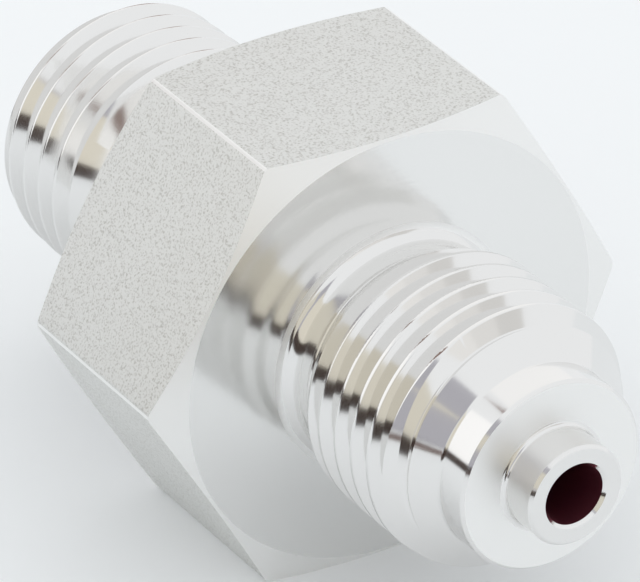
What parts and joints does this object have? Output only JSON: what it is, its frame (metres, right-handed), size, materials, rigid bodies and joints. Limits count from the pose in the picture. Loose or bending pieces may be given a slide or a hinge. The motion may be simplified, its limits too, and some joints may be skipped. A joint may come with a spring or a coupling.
{
  "type": "screw-in adapter",
  "caption": "Solid steel adapter with a central hexagon, a parallel pipe thread with a centring pin in front, a taper pipe thread behind and a narrow bore right through.",
  "frame": {"origin": "on the adapter's axis, in the plane of the hexagon's front face", "axes": "+X along the axis to the end with the parallel thread and the pin; +Z out of the hexagon's upper flat, so the part lies on the flat that faces -Z"},
  "size_m": [0.04, 0.0252, 0.022],
  "materials": {
    "turned_steel": "bare stainless steel: satin where turned, matt with fine speckle on the six drawn flats"
  },
  "bodies": {
    "root": {"adapter_body": "turned_steel"}
  },
  "joints": []
}
